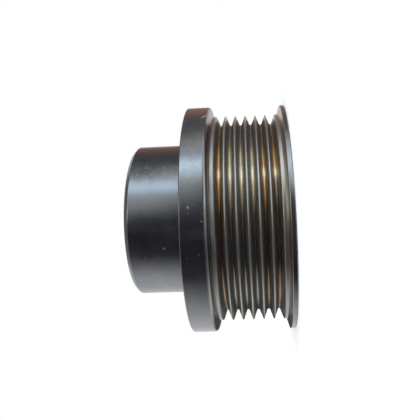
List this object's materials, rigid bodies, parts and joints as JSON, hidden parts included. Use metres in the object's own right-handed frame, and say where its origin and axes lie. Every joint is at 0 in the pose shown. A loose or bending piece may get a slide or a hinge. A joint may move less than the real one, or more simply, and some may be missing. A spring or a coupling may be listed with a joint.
{
  "type": "alternator pulley",
  "caption": "Solid turned pulley with V grooves for a ribbed belt between two flanges, a long spacer boss, a through bore and a nut recess.",
  "frame": {"origin": "centre of the front face, on the bore axis, which is also the middle of the box's base", "axes": "+Z along the bore axis, from the front flange towards the end of the spacer boss; the pulley is round, so X and Y are free"},
  "size_m": [0.0808, 0.0808, 0.055],
  "materials": {
    "blackened_steel": "satin black oxide over turned steel, bare grey rib tips, bronze tint in the groove bottoms"
  },
  "bodies": {
    "root": {"pulley": "blackened_steel"}
  },
  "joints": []
}
